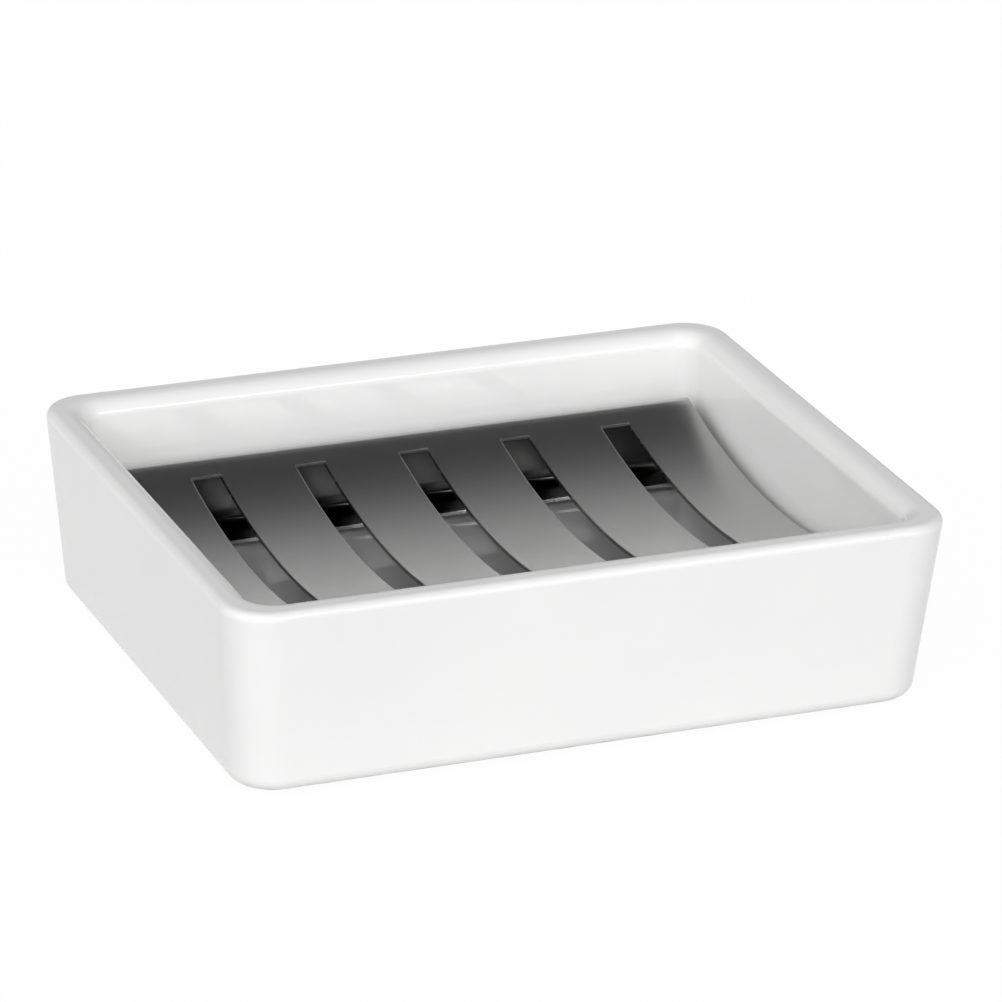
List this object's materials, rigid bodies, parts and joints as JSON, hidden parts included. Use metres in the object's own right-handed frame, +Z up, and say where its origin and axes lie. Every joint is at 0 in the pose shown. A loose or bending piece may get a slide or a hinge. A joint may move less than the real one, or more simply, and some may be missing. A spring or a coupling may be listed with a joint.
{
  "type": "soap dish",
  "caption": "Rectangular glazed ceramic soap dish with leaning walls and a loose slotted steel tray, sagging in the middle, that holds the soap clear of the wet floor and lifts out.",
  "frame": {"origin": "on the resting plane, under the centre of the dish", "axes": "+X along the dish's length, +Y towards its back, +Z up"},
  "size_m": [0.1298, 0.1038, 0.0343],
  "materials": {
    "ceramic": "white gloss glaze",
    "steel": "brushed along the length",
    "silicone": "matt, slightly milky"
  },
  "bodies": {
    "dish": {"dish": "ceramic", "base_bumper_front_left": "silicone", "base_bumper_front_right": "silicone", "base_bumper_back_left": "silicone", "base_bumper_back_right": "silicone"},
    "tray": {"soap_tray": "steel", "tray_bumper_front_left": "silicone", "tray_bumper_front_right": "silicone", "tray_bumper_back_left": "silicone", "tray_bumper_back_right": "silicone"}
  },
  "joints": [
    {"name": "tray_lift", "type": "slide", "parent": "dish", "child": "tray", "axis": [0, 0, 1], "range_m": [0, 0.045]}
  ]
}
